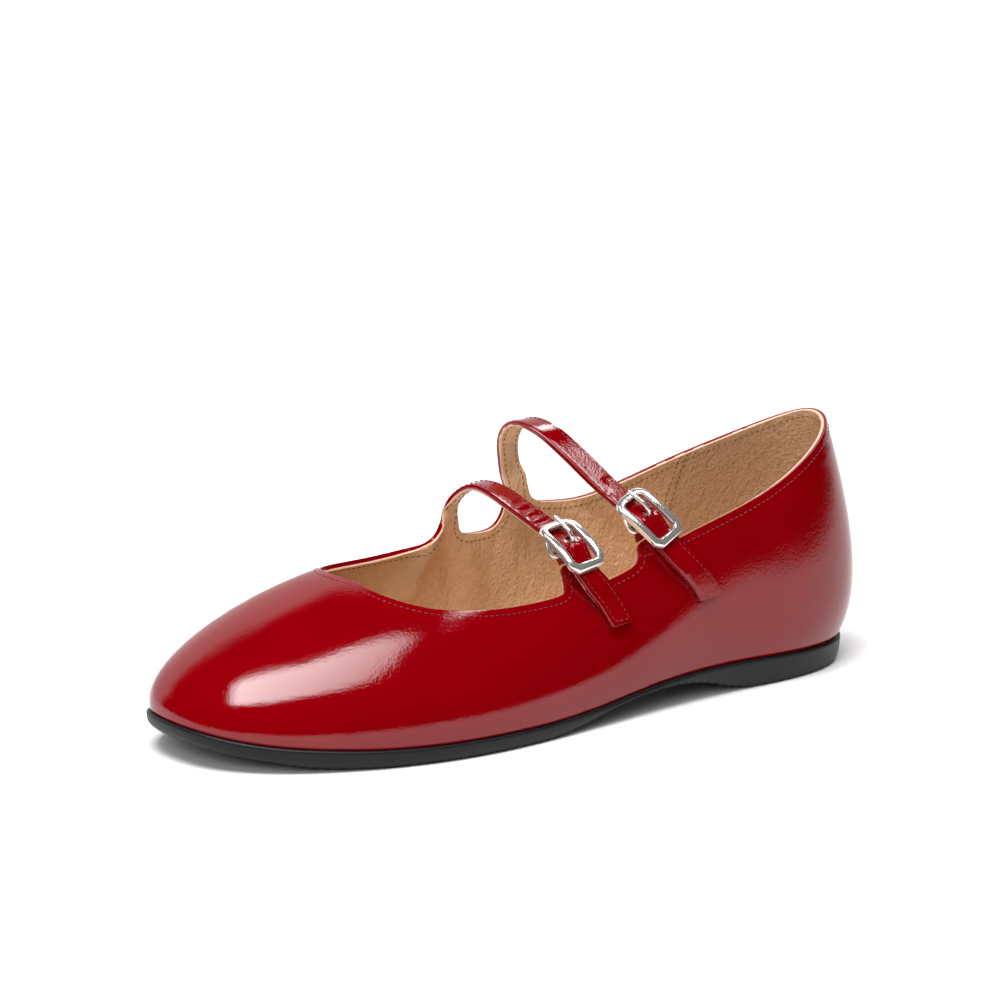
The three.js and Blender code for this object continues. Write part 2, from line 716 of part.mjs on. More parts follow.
function buckleGeometry(line) {
  const corners = named(CORNER_COLUMNS, FRAME_CORNERS).map(
    ({ along, across }) => new THREE.Vector2((along * FRAME_LENGTH) / 2, (across * FRAME_WIDTH) / 2),
  );
  const half = FRAME_BAR / 2;
  const section = [
    [half, FRAME_LOW + FRAME_BEVEL], [half, FRAME_HIGH - FRAME_BEVEL],
    [half - FRAME_BEVEL, FRAME_HIGH], [FRAME_BEVEL - half, FRAME_HIGH],
    [-half, FRAME_HIGH - FRAME_BEVEL], [-half, FRAME_LOW + FRAME_BEVEL],
    [FRAME_BEVEL - half, FRAME_LOW], [half - FRAME_BEVEL, FRAME_LOW],
  ];
  const rings = corners.map((corner, i) => {
    const count = corners.length;
    const before = corner.clone().sub(corners[(i + count - 1) % count]).normalize();
    const after = corners[(i + 1) % count].clone().sub(corner).normalize();
    const mitre = before.clone().add(after).normalize();
    const out = new THREE.Vector2(mitre.y, -mitre.x);
    const widen = 1 / Math.max(0.5, mitre.dot(after));
    return section.map(([side, up]) => {
      const spot = corner.clone().addScaledVector(out, side * widen);
      return line.spot(spot.x, spot.y, up);
    });
  });
  const frame = solidOf(sweptGeometry(rings, true));
  const side = FRAME_WIDTH / 2;
  const arm = named(ROD_COLUMNS, ARM).map(({ along, up }) => [(along * FRAME_LENGTH) / 2, side, up]);
  arm.push([0, side - BAR_RADIUS, BAR_HEIGHT]);
  const path = [...arm, ...arm.map(([along, across, up]) => [along, -across, up]).reverse()];
  const bar = solidOf(rodGeometry(line, path, BAR_RADIUS, 10));
  return geometryFrom(frame.add(bar));
}

// Across the strap at the hidden bar: a rod of the given radius and half width
const barRod = (line, radius, reach, sides) =>
  solidOf(rodGeometry(line, [[0, -reach, BAR_HEIGHT], [0, reach, BAR_HEIGHT]], radius, sides));

function prongGeometry(line) {
  const path = named(ROD_COLUMNS, PRONG).map(({ along, up }) => [(along * FRAME_LENGTH) / 2, 0, up]);
  const pin = solidOf(rodGeometry(line, path, PRONG_RADIUS, 8));
  const eye = barRod(line, EYE_RADIUS, EYE_HALF, 14);
  return geometryFrom(eye.add(pin).subtract(barRod(line, BAR_RADIUS + GAP, 2 * EYE_HALF, 14)));
}

// The loop wraps the hidden bar and reaches back to the tab's upper edge, slotted for the prong
function loopGeometry(line, strap) {
  const tab = ends.find((end) => end.name === strap.tab);
  const edge = edgeMiddle(tab.middle);
  const tabSide = edgeMiddle(tab.reach(1)).sub(edgeMiddle(tab.reach(-1))).normalize();
  const bar = line.spot(0, 0, BAR_HEIGHT);
  const barSide = line.spot(0, 1, BAR_HEIGHT).sub(bar);
  const reach = edge.distanceTo(bar) - GAP - 0.4;
  const wrap = BAR_RADIUS + GAP + LOOP_THICK;
  // A block along one direction from the bar, with ends along another
  const block = (ahead, side, from, to, wide, high) => {
    const thick = ahead.clone().cross(side).normalize();
    const rings = [from, to].map((length) =>
      [[-wide, high], [wide, high], [wide, -high], [-wide, -high]].map(([across, up]) => {
        const point = bar.clone().addScaledVector(ahead, length);
        return point.addScaledVector(side, across).addScaledVector(thick, up);
      }),
    );
    return solidOf(sweptGeometry(rings, false));
  };
  const toTab = edge.clone().sub(bar).normalize();
  const square = toTab.clone().addScaledVector(barSide, -toTab.dot(barSide)).normalize();
  const half = LOOP_WIDTH / 2;
  const web = block(toTab, tabSide, BAR_RADIUS, reach, half, WALL / 2 - 0.2);
  const slot = block(square, barSide, -wrap - 1, wrap + GAP, EYE_HALF + 2 * GAP, wrap + 1);
  const ring = barRod(line, wrap, half, 16);
  const hole = barRod(line, BAR_RADIUS + GAP, half + 1, 16);
  return geometryFrom(ring.add(web).subtract(hole).subtract(slot));
}

const finish = (color, roughness, metalness) =>
  new THREE.MeshStandardMaterial({ color, roughness, metalness });
const PATENT = finish(0x8c0010, 0.12, 0);
const LINING = finish(0xc09468, 0.6, 0);
const RUBBER = finish(0x1e1e20, 0.6, 0);
const METAL = finish(0xc8c8c6, 0.15, 1);

const shoe = new THREE.Group();
function add(name, geometry, material) {
  const mesh = new THREE.Mesh(geometry, material);
  mesh.name = name;
  shoe.add(mesh);
}

add("outsole", outsoleGeometry(), RUBBER);
add("upper", upperGeometry(), PATENT);
add("insole", insoleGeometry(), LINING);
for (const [name, strap] of Object.entries(STRAPS)) {
  const line = strapLine(strap);
  add(name + "_strap", strapGeometry(line), PATENT);
  add(name + "_buckle", buckleGeometry(line), METAL);
  add(name + "_prong", prongGeometry(line), METAL);
  add(name + "_buckle_loop", loopGeometry(line, strap), PATENT);
}

// The origin lies on the floor, under the middle of the shoe
const box = new THREE.Box3().setFromObject(shoe);
const middle = box.getCenter(new THREE.Vector3());
shoe.position.set(-middle.x, -middle.y, -box.min.z);

export default shoe;
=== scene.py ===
# Left mary jane shoe in red patent leather, with tan lining, buckled straps and a black rubber sole.
# All sizes are in metres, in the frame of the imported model: toe to -Y, outer side to +X, floor at Z 0.
import math

import bmesh
import bpy
import numpy
from mathutils import Matrix, Vector
from mathutils.bvhtree import BVHTree
from mathutils.kdtree import KDTree


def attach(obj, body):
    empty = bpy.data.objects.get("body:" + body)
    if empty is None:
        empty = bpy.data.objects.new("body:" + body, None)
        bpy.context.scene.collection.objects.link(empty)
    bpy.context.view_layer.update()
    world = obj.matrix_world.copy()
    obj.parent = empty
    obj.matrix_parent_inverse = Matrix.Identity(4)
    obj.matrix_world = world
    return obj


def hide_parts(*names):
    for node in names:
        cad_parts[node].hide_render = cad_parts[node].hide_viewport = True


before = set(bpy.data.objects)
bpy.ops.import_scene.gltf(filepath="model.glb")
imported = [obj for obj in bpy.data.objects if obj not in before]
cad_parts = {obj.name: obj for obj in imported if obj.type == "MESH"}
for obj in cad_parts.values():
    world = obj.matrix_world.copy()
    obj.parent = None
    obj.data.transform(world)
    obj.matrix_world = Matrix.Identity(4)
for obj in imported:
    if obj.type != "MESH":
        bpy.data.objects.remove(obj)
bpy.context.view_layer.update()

MM = 0.001

bl_info = {
    "name": "Two-strap mary jane",
    "version": (1, 0, 0),
    "blender": (4, 5, 0),
    "location": "View3D > Sidebar > Mary Jane",
    "description": "Builds a buckled mary jane shoe round its packed solids",
    "category": "Object",
}

# Each buckle's place, in millimetres: the strap's middle inside the frame, the way along the strap
# and the way across it, and how much the frame arches
BUCKLES = {
    "front": ((18.657, 5.013, 52.203), (0.8118, 0.1886, -0.5526), (-0.1559, 0.9821, 0.1061), 0.0140),
    "rear": ((19.665, 32.349, 57.284), (0.6497, 0.4436, -0.6173), (-0.3216, 0.8962, 0.3056), 0.0082),
}
FRAME_HALF = (10.1, 7.1)
FRAME_BAR = 2.5
FRAME_LOW, FRAME_HIGH = 1.3, 3.5
FRAME_CORNERS = ((-1, 4.2, 6), (1, 2.4, 1))  # end, size of the corner, cuts round it
FRAME_CUTS = (-6, -3, 0, 3, 6)  # where the side bars are cut so that they can arch
FRAME_EDGE = 0.62  # rounding of the frame's edges
FRAME_THINS = 0.018  # share of the thickness lost per millimetre towards the prong's end
BAR_RADIUS = 0.8
PRONG_RADIUS = 0.65
EYE_RADII = (1.5, 0.62)  # the prong's eye round the hidden bar
LOOP_EDGE = 0.0002
# Points of a side arm and of the prong: along the strap and up from it
SIDE_ARM = ((-7.0, 2.3), (-5.4, 0.9), (-3.4, -0.7), (-0.8, -1.7), (0.0, -1.7))
PRONG = ((-0.35, -0.45), (-0.5, 1.3), (-0.85, 3.4), (-1.7, 4.4), (-5.5, 4.75), (-9.9, 4.2))

# Creases, in millimetres in a buckle's own directions: middle along and across the strap, the
# turn of the crease from square across, its half length, its half width and its height
STRAP_CREASES = {
    "front": (
        (-24.0, 0.6, 8, 3.4, 0.8, -0.22), (-22.2, -0.8, -6, 3.0, 0.7, 0.20),
        (-20.3, 0.4, 10, 3.8, 0.8, -0.28), (-18.4, -0.6, 4, 3.6, 0.7, 0.24),
        (-16.6, 0.9, -8, 3.2, 0.8, -0.30), (-14.8, -0.2, 12, 3.8, 0.7, 0.26),
        (-13.0, 0.5, 2, 3.6, 0.7, -0.26), (-11.3, -0.9, -6, 3.0, 0.7, 0.22),
        (-2.6, 1.2, 50, 3.0, 0.8, 0.25), (0.8, -1.4, 62, 3.2, 0.7, -0.30),
        (2.6, 1.0, 70, 2.8, 0.7, 0.24), (4.2, -0.6, 30, 2.6, 0.7, -0.30),
    ),
    "rear": (
        (-2.2, 1.5, 58, 3.0, 0.8, 0.24), (1.0, -1.2, 66, 3.2, 0.7, -0.32),
        (3.2, 0.9, 48, 2.8, 0.7, 0.24), (-14.0, -2.6, 20, 2.0, 0.7, -0.14),
        (-17.5, 2.4, -15, 2.2, 0.8, -0.14), (14.0, -2.6, 6, 2.0, 0.55, -0.20),
        (15.7, -2.5, -4, 1.9, 0.55, -0.22), (17.3, -2.7, 8, 2.1, 0.55, -0.24),
        (19.0, -2.4, 0, 1.9, 0.55, -0.20), (20.8, -2.6, -6, 2.0, 0.55, -0.18),
    ),
}

# Soft folds of the inner wall, in millimetres: y and z of both ends, half width and height
LINING_FOLDS = (
    (-12.5, 52.0, -5.0, 24.0, 3.6, -1.5), (-20.5, 46.0, -23.0, 28.0, 3.0, 1.7),
    (-3.0, 46.0, 3.0, 28.0, 3.0, 1.7), (-28.0, 42.0, -34.0, 26.0, 2.4, -0.6),
    (8.0, 46.0, 7.0, 32.0, 2.0, -0.65), (14.0, 46.0, 15.0, 34.0, 1.7, 0.62),
    (20.0, 47.0, 23.0, 33.0, 1.7, -0.62), (26.0, 47.0, 33.0, 33.0, 1.6, 0.66),
    (30.0, 49.0, 41.0, 34.0, 1.5, -0.62), (36.0, 50.0, 48.0, 34.0, 1.6, 0.66),
    (42.0, 51.0, 54.0, 36.0, 1.4, -0.60), (48.0, 51.0, 60.0, 38.0, 1.6, 0.30),
)

# Where the heel lining meets the front lining: y at the floor and how y changes with height
HEEL_SEAM = (0.0607, 0.224)
SEAM_TOP = 0.066
SEAM_STEP = 0.0006
SEAM_ASIDE = 0.0012
INNER_WALL = -0.0225  # x of the lining near that seam

# Stitches keep this share of their margin clear; a run breaks at a wider gap than RUN_GAP
CLEAR_SHARE, RUN_GAP = 0.86, 0.004
RUN_LEAST = 7  # points of the shortest run
LINE_STEP = 0.0006

# The strap roots of the inner side lie beyond this x and z; this y parts the front from the rear
ROOT_X, ROOT_Z, ROOT_SPLIT = -0.015, 0.045, 0.0035
STRAP_HALF = 4.3  # half the strap's width, in millimetres
SOLE_JOINT = 0.022  # the upper's lower edge lies under this height
SMOOTH_TURN = math.radians(38)  # faces of one side of the leather turn less than this

# Shares of the way from the patent side to the lining side: patent leather up to the first, the
# cut edge up to the second, and faces already known as lining from the third on
PATENT_SHARE, EDGE_SHARE, LINING_SHARE = 0.60, 0.93, 0.72
PATENT, LINING, EDGE = 0, 1, 2  # material slots of the upper
INSIDE = (0, 0.108, 0.035)  # a place just before the heel lining
CORE_ENDS, CORE_HEIGHT = (-0.08, 0.085), 0.036  # a line through the foot, to tell inside from out
BRIDGE_GAP = 0.0006  # the joints of strap and upper are closer than this to both
BROAD = 0.0008  # least width of a face on the broad side of a strap

# Camera place and target; the lights: place, aim, size, the way the long side runs and power
CAMERA_AT = (1.2095, -0.7937, 0.4259)
CAMERA_AIM = (-0.0093, -0.0022, 0.0625)
CAMERA_LENS = 175.8
WORLD_LIGHT = 0.2
FLOOR_SIZE, FLOOR_DROP = 40, 0.0001  # the floor lies just under the sole
SOFTBOX_ENDS = (1.55, 0.5)  # brightness at the toe's end and at the heel's end
LIGHTS = (
    ("Softbox", (0.8, -0.76, 4.0), (0, 0, 0), (3.1, 2.0), (0.63, 0.77, 0), 214.0),
    ("Wall", (-3.68, -0.89, 1.8), (-1.5, -2.31, 1.8), (8.5, 3.6), (0.545, 0.839, 0), 96.0),
    ("Rear strip", (0.39, 1.44, 2.61), (0, 0, 0.06), (0.5, 0.36), (1, 0, 0), 7.0),
    ("Front strip", (-1.08, 1.62, 2.28), (0, 0, 0.06), (0.5, 0.36), (1, 0, 0), 7.0),
    ("Fill", (1.9, -2.2, 1.7), (0, 0, 0.03), (1.4, 1.4), (0.545, 0.839, 0), 34.0),
)


# Small helpers for meshes

def deselect():
    if bpy.context.object and bpy.context.object.mode != "OBJECT":
        bpy.ops.object.mode_set(mode="OBJECT")
    bpy.ops.object.select_all(action="DESELECT")


def activate(obj):
    deselect()
    obj.select_set(True)
    bpy.context.view_layer.objects.active = obj


def node_copy(node, name):
    """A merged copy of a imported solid, ready to be worked on."""
    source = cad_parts[node]
    obj = bpy.data.objects.new(name, source.data.copy())
    obj.data.name = name
    obj.data.materials.clear()
    bpy.context.scene.collection.objects.link(obj)
    activate(obj)
    bpy.ops.object.mode_set(mode="EDIT")
    bpy.ops.mesh.select_all(action="SELECT")
    bpy.ops.mesh.remove_doubles(threshold=1e-6)
    bpy.ops.mesh.customdata_custom_splitnormals_clear()
    bpy.ops.object.mode_set(mode="OBJECT")
    return obj


def select_faces(obj, test):
    """Selects the faces that pass a test and returns how many there are."""
    activate(obj)
    bpy.ops.object.mode_set(mode="EDIT")
    bpy.ops.mesh.select_mode(type="FACE")
    bpy.ops.mesh.select_all(action="DESELECT")
    bpy.ops.object.mode_set(mode="OBJECT")
    chosen = 0
    for face in obj.data.polygons:
        face.select = test(face)
        chosen += face.select
    bpy.ops.object.mode_set(mode="EDIT")
    return chosen


def select_edges(obj, test):
    """Selects the edges that pass a test and returns how many there are."""
    activate(obj)
    bpy.ops.object.mode_set(mode="EDIT")
    bpy.ops.mesh.select_mode(type="EDGE")
    bpy.ops.mesh.select_all(action="DESELECT")
    bm = bmesh.from_edit_mesh(obj.data)
    chosen = 0
    for edge in bm.edges:
        if test(edge):
            edge.select = True
            chosen += 1
    bmesh.update_edit_mesh(obj.data)
    return chosen


def make_quads(obj, face_turn, shape_turn):
    activate(obj)
    bpy.ops.object.mode_set(mode="EDIT")
    bpy.ops.mesh.select_all(action="SELECT")
    bpy.ops.mesh.tris_convert_to_quads(
        face_threshold=math.radians(face_turn), shape_threshold=math.radians(shape_turn)
    )
    bpy.ops.object.mode_set(mode="OBJECT")


def keep_sharp(obj, crease, below=1.0):
    """Creases the sharp edges under a height, so that smoothing leaves them where they are."""

    def sharp(edge):
        low = max(vert.co.z for vert in edge.verts) < below
        return low and edge.calc_face_angle(0.0) > math.radians(40)

    select_edges(obj, sharp)
    bpy.ops.transform.edge_crease(value=crease)
    bpy.ops.object.mode_set(mode="OBJECT")


def subdivided(obj, levels):
    activate(obj)
    smooth = obj.modifiers.new("smooth", "SUBSURF")
    smooth.levels = levels
    smooth.render_levels = levels
    bpy.ops.object.modifier_apply(modifier=smooth.name)
    bpy.ops.object.shade_smooth()


def joined(first, *others):
    deselect()
    for obj in (first, *others):
        obj.select_set(True)
    bpy.context.view_layer.objects.active = first
    bpy.ops.object.join()
    return first


def named(obj, name):
    obj.name = name
    obj.data.name = name


def tree_of(obj):
    return BVHTree.FromPolygons(
        [v.co for v in obj.data.vertices], [tuple(p.vertices) for p in obj.data.polygons]
    )


# Materials

def group_socket(tree, name, way, kind, value=None):
    socket = tree.interface.new_socket(name=name, in_out=way, socket_type=kind)
    if value is not None:
        socket.default_value = value
    return socket


def leather_grain():
    """Grain shared by the patent face and the lining: a height that changes over the surface."""
    name = "Leather grain"
    if name in bpy.data.node_groups:
        return bpy.data.node_groups[name]
    tree = bpy.data.node_groups.new(name, "ShaderNodeTree")
    group_socket(tree, "Size", "INPUT", "NodeSocketFloat", 900.0)
    group_socket(tree, "Pebble", "INPUT", "NodeSocketFloat", 0.5)
    group_socket(tree, "Height", "OUTPUT", "NodeSocketFloat")
    group_socket(tree, "Mottle", "OUTPUT", "NodeSocketFloat")
    nodes, links = tree.nodes, tree.links
    given = nodes.new("NodeGroupInput")
    out = nodes.new("NodeGroupOutput")
    coords = nodes.new("ShaderNodeTexCoord")
    cells = nodes.new("ShaderNodeTexVoronoi")
    cells.feature = "SMOOTH_F1"
    noise = nodes.new("ShaderNodeTexNoise")
    noise.inputs["Detail"].default_value = 4.0
    noise.inputs["Roughness"].default_value = 0.6
    broad = nodes.new("ShaderNodeTexNoise")
    broad.inputs["Scale"].default_value = 28.0
    broad.inputs["Detail"].default_value = 3.0
    mix = nodes.new("ShaderNodeMix")
    links.new(coords.outputs["Object"], cells.inputs["Vector"])
    links.new(coords.outputs["Object"], noise.inputs["Vector"])
    links.new(coords.outputs["Object"], broad.inputs["Vector"])
    links.new(given.outputs["Size"], cells.inputs["Scale"])
    links.new(given.outputs["Size"], noise.inputs["Scale"])
    links.new(given.outputs["Pebble"], mix.inputs["Factor"])
    links.new(noise.outputs["Fac"], mix.inputs["A"])
    links.new(cells.outputs["Distance"], mix.inputs["B"])
    links.new(mix.outputs["Result"], out.inputs["Height"])
    links.new(broad.outputs["Fac"], out.inputs["Mottle"])
    return tree


def new_material(name):
    mat = bpy.data.materials.new(name)
    mat.use_nodes = True
    return mat, mat.node_tree.nodes, mat.node_tree.links, mat.node_tree.nodes["Principled BSDF"]


def add_grain(nodes, links, size, pebble):
    grain = nodes.new("ShaderNodeGroup")
    grain.node_tree = leather_grain()
    grain.inputs["Size"].default_value = size
    grain.inputs["Pebble"].default_value = pebble
    return grain


def add_bump(nodes, links, shader, height, strength, distance):
    bump = nodes.new("ShaderNodeBump")
    bump.inputs["Strength"].default_value = strength
    bump.inputs["Distance"].default_value = distance
    links.new(height, bump.inputs["Height"])
    links.new(bump.outputs["Normal"], shader.inputs["Normal"])
    return bump


def tinted(nodes, links, factor, dark, light, low=0.35, high=0.65):
    ramp = nodes.new("ShaderNodeValToRGB")
    ramp.color_ramp.elements[0].position = low
    ramp.color_ramp.elements[1].position = high
    ramp.color_ramp.elements[0].color = (*dark, 1)
    ramp.color_ramp.elements[1].color = (*light, 1)
    links.new(factor, ramp.inputs["Fac"])
    return ramp.outputs["Color"]


def object_noise(nodes, links, scale, detail, rough=0.5):
    coords = nodes.new("ShaderNodeTexCoord")
    noise = nodes.new("ShaderNodeTexNoise")
    noise.inputs["Scale"].default_value = scale
    noise.inputs["Detail"].default_value = detail
    noise.inputs["Roughness"].default_value = rough
    links.new(coords.outputs["Object"], noise.inputs["Vector"])
    return noise.outputs["Fac"]


def patent_leather(look):
    """Deep red lacquer: an even colour under a hard shine, with the fine peel of a coated hide."""
    mat, nodes, links, shader = new_material("Patent leather")
    grain = add_grain(nodes, links, 1250.0, 0.35)
    base = Vector(look.patent_colour[:3])
    links.new(
        tinted(nodes, links, grain.outputs["Mottle"], base * 0.93, base * 1.05),
        shader.inputs["Base Color"],
    )
    shader.inputs["Roughness"].default_value = 0.045
    shader.inputs["IOR"].default_value = 1.5
    broad = add_bump(nodes, links, shader, object_noise(nodes, links, 105.0, 1.5), 1.0, 0.00008)
    peel = add_bump(nodes, links, shader, grain.outputs["Height"], 1.0, 0.00005)
    links.new(broad.outputs["Normal"], peel.inputs["Normal"])
    return mat


def lining_leather(look, name="Lining leather", seam=HEEL_SEAM[0]):
    """Tan lining with a fine grain, and a heel piece of brushed leather behind its seam."""
    mat, nodes, links, shader = new_material(name)
    grain = add_grain(nodes, links, 1150.0, 0.6)
    coords = nodes.new("ShaderNodeTexCoord")
    place = nodes.new("ShaderNodeSeparateXYZ")
    links.new(coords.outputs["Object"], place.inputs["Vector"])
    lean = nodes.new("ShaderNodeMath")
    lean.operation = "MULTIPLY_ADD"
    lean.inputs[1].default_value = -HEEL_SEAM[1]
    links.new(place.outputs["Z"], lean.inputs[0])
    links.new(place.outputs["Y"], lean.inputs[2])
    heel = nodes.new("ShaderNodeMapRange")
    heel.inputs["From Min"].default_value = seam - 0.0002
    heel.inputs["From Max"].default_value = seam + 0.0002
    links.new(lean.outputs["Value"], heel.inputs["Value"])
    base = Vector(look.lining_colour[:3])
    smooth = tinted(nodes, links, grain.outputs["Mottle"], base * 0.86, base * 1.08)
    nap = object_noise(nodes, links, 1500.0, 5.0, 0.75)
    brushed = tinted(nodes, links, nap, base * 0.66, base * 0.95, 0.3, 0.7)
    colour = nodes.new("ShaderNodeMix")
    colour.data_type = "RGBA"
    links.new(heel.outputs["Result"], colour.inputs["Factor"])
    links.new(smooth, colour.inputs[6])
    links.new(brushed, colour.inputs[7])
    links.new(colour.outputs[2], shader.inputs["Base Color"])
    gloss = nodes.new("ShaderNodeMapRange")
    gloss.inputs["To Min"].default_value = 0.46
    gloss.inputs["To Max"].default_value = 0.9
    links.new(heel.outputs["Result"], gloss.inputs["Value"])
    links.new(gloss.outputs["Result"], shader.inputs["Roughness"])
    stretch = nodes.new("ShaderNodeMapping")
    stretch.inputs["Rotation"].default_value = (0.6, 0.0, 0.0)
    stretch.inputs["Scale"].default_value = (1.0, 1.7, 1.0)
    links.new(coords.outputs["Object"], stretch.inputs["Vector"])
    wrinkles = nodes.new("ShaderNodeTexNoise")
    wrinkles.inputs["Scale"].default_value = 210.0
    wrinkles.inputs["Detail"].default_value = 3.0
    wrinkles.inputs["Distortion"].default_value = 0.8
    links.new(stretch.outputs["Vector"], wrinkles.inputs["Vector"])
    soft = add_bump(nodes, links, shader, wrinkles.outputs["Fac"], 1.0, 0.0009)
    fine = add_bump(nodes, links, shader, grain.outputs["Height"], 1.0, 0.0005)
    links.new(soft.outputs["Normal"], fine.inputs["Normal"])
    return mat


def cut_edge(look):
    """The pale cut of the leather between its face and its lining."""
    mat, nodes, links, shader = new_material("Cut edge")
    grain = add_grain(nodes, links, 2400.0, 0.2)
    base = Vector(look.edge_colour[:3])
    links.new(
        tinted(nodes, links, grain.outputs["Height"], base * 0.8, base * 1.1),
        shader.inputs["Base Color"],
    )
    shader.inputs["Roughness"].default_value = 0.6
    add_bump(nodes, links, shader, grain.outputs["Height"], 0.5, 0.0001)
    return mat


def sole_rubber(look, name="Sole rubber", ribs=False):
    """Black moulded rubber, ribbed across the foot where it meets the floor."""
    mat, nodes, links, shader = new_material(name)
    grain = add_grain(nodes, links, 2200.0, 0.3)
    base = Vector(look.sole_colour[:3])
    links.new(
        tinted(nodes, links, grain.outputs["Mottle"], base * 0.85, base * 1.2),
        shader.inputs["Base Color"],
    )
    shader.inputs["Roughness"].default_value = 0.45
    shader.inputs["Specular IOR Level"].default_value = 0.3
    bump = add_bump(nodes, links, shader, grain.outputs["Height"], 0.6, 0.00012)
    if ribs:
        coords = nodes.new("ShaderNodeTexCoord")
        wave = nodes.new("ShaderNodeTexWave")
        wave.bands_direction = "Y"
        wave.inputs["Scale"].default_value = 95.0
        wave.inputs["Distortion"].default_value = 0.0
        links.new(coords.outputs["Object"], wave.inputs["Vector"])
        tread = add_bump(nodes, links, shader, wave.outputs["Fac"], 1.0, 0.0006)
        links.new(bump.outputs["Normal"], tread.inputs["Normal"])
    return mat


def polished_metal(look):
    """Bright cast metal with the slight waviness of hand polishing."""
    mat, nodes, links, shader = new_material("Polished metal")
    grain = add_grain(nodes, links, 340.0, 0.0)
    base = Vector(look.metal_colour[:3])
    links.new(
        tinted(nodes, links, grain.outputs["Mottle"], base * 0.93, base),
        shader.inputs["Base Color"],
    )
    shader.inputs["Metallic"].default_value = 0.84
    shader.inputs["Roughness"].default_value = 0.13
    add_bump(nodes, links, shader, grain.outputs["Height"], 1.0, 0.00003)
    return mat


def thread(name, colour):
    """Twisted thread that catches the light along each stitch."""
    mat, nodes, links, shader = new_material(name)
    base = Vector(colour)
    links.new(
        tinted(
            nodes, links, object_noise(nodes, links, 3800.0, 3.0), base * 0.6, base * 1.3, 0.4, 0.6
        ),
        shader.inputs["Base Color"],
    )
    shader.inputs["Roughness"].default_value = 0.3
    return mat


# The user's sizes and colours

def colour_property(name, description, default):
    return bpy.props.FloatVectorProperty(
        name=name, description=description, subtype="COLOR", size=3, min=0, max=1, default=default
    )


def length_property(name, description, default):
    return bpy.props.FloatProperty(
        name=name, description=description, unit="LENGTH", precision=5, default=default
    )


class ShoeLook(bpy.types.PropertyGroup):
    patent_colour: colour_property("Patent", "Colour of the patent leather", (0.195, 0.0, 0.002))
    lining_colour: colour_property("Lining", "Colour of the lining", (0.73, 0.46, 0.26))
    edge_colour: colour_property("Cut edge", "Colour of the leather's cut edge", (0.80, 0.50, 0.38))
    sole_colour: colour_property("Sole", "Colour of the rubber", (0.005, 0.005, 0.0055))
    metal_colour: colour_property("Metal", "Colour of the buckles", (0.86, 0.84, 0.80))
    red_thread: colour_property("Outer thread", "Colour of the outside stitches", (0.17, 0.012, 0.02))
    tan_thread: colour_property("Inner thread", "Colour of the lining's stitches", (0.22, 0.10, 0.035))


class ShoeSizes(bpy.types.PropertyGroup):
    edge_round: length_property("Edge round", "Rounding of the folded top edge", 0.0005)
    stitch: length_property("Stitch", "Length of one stitch", 0.0013)
    stitch_pitch: length_property("Stitch pitch", "From one stitch to the next", 0.0019)
    thread: length_property("Thread", "Thickness of the thread", 0.0004)
    top_margin: length_property("Top margin", "From the top edge to its stitches", 0.0022)
    strap_margin: length_property("Strap margin", "From a strap's edge to its stitches", 0.0012)


def look():
    return bpy.context.scene.shoe_look


def sizes():
    return bpy.context.scene.shoe_sizes


# The leather's two faces, and the lines where each meets the edge

def spread_label(mesh, seed, label):
    """Gives a label to a face and to all that lie smoothly beside it."""
    mesh.faces.ensure_lookup_table()
    seen = {seed}
    queue = [mesh.faces[seed]]
    while queue:
        face = queue.pop()
        face.material_index = label
        for edge in face.edges:
            if len(edge.link_faces) != 2 or edge.calc_face_angle(4.0) > SMOOTH_TURN:
                continue
            for other in edge.link_faces:
                if other.index not in seen:
                    seen.add(other.index)
                    queue.append(other)


def labelled_faces(obj, label):
    """A search tree of the faces with one label."""
    faces = [tuple(p.vertices) for p in obj.data.polygons if p.material_index == label]
    return BVHTree.FromPolygons([v.co for v in obj.data.vertices], faces)


def border_lines(obj, label):
    """The closed lines round the faces with one label, as lists of points."""
    mesh = bmesh.new()
    mesh.from_mesh(obj.data)
    beside = {}
    for edge in mesh.edges:
        if sorted(face.material_index == label for face in edge.link_faces) == [False, True]:
            a, b = edge.verts
            beside.setdefault(a.index, []).append(b.index)
            beside.setdefault(b.index, []).append(a.index)
    points = {v.index: v.co.copy() for v in mesh.verts}
    mesh.free()
    lines = []
    while beside:
        start = at = next(iter(beside))
        line = []
        while at in beside and beside[at]:
            ahead = beside[at].pop()
            beside[ahead].remove(at)
            line.append(points[at])
            if not beside[at]:
                del beside[at]
            at = ahead
            if at == start:
                break
        if at in beside and not beside[at]:
            del beside[at]
        if len(line) > 8:
            lines.append(line)
    return lines


def evened(line, step, closed=True):
    """A line with points a given step apart."""
    ring = line + line[:1] if closed else line
    gaps = [(b - a).length for a, b in zip(ring, ring[1:])]
    total = sum(gaps)
    count = max(2, round(total / step))
    made, i, walked = [], 0, 0.0
    for k in range(count if closed else count + 1):
        goal = min(total * k / count, total * 0.999999)
        while walked + gaps[i] < goal:
            walked += gaps[i]
            i += 1
        made.append(ring[i].lerp(ring[i + 1], (goal - walked) / gaps[i]))
    return made


def softened(line, rounds):
    """A closed line with its corners smoothed."""
    count = len(line)
    for _ in range(rounds):
        line = [(line[k - 1] + line[k] * 2 + line[(k + 1) % count]) / 4 for k in range(count)]
    return line


